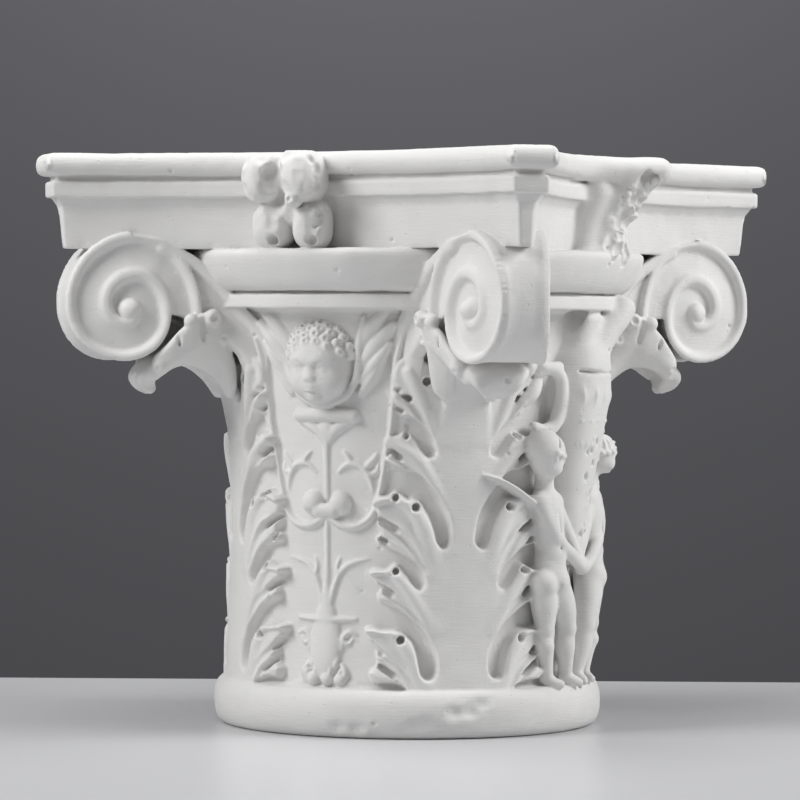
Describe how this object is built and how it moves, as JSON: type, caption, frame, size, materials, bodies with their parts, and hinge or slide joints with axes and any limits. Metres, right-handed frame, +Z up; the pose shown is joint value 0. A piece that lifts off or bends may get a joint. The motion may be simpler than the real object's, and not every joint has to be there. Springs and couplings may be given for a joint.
{
  "type": "carved composite capital",
  "caption": "Carved column capital of white plaster with corner volutes and leaves, cherub and putti faces, and flat beds top and bottom to stand on a shaft and carry a block.",
  "frame": {"origin": "middle of the underside of the base ring", "axes": "+Z up, the cherub face looks along -Y, the face with the two putti looks along +X, the corners lie on the diagonals"},
  "size_m": [0.4096, 0.4096, 0.405],
  "materials": {
    "white_plaster": "matte"
  },
  "bodies": {
    "root": {"capital": "white_plaster"}
  },
  "joints": []
}
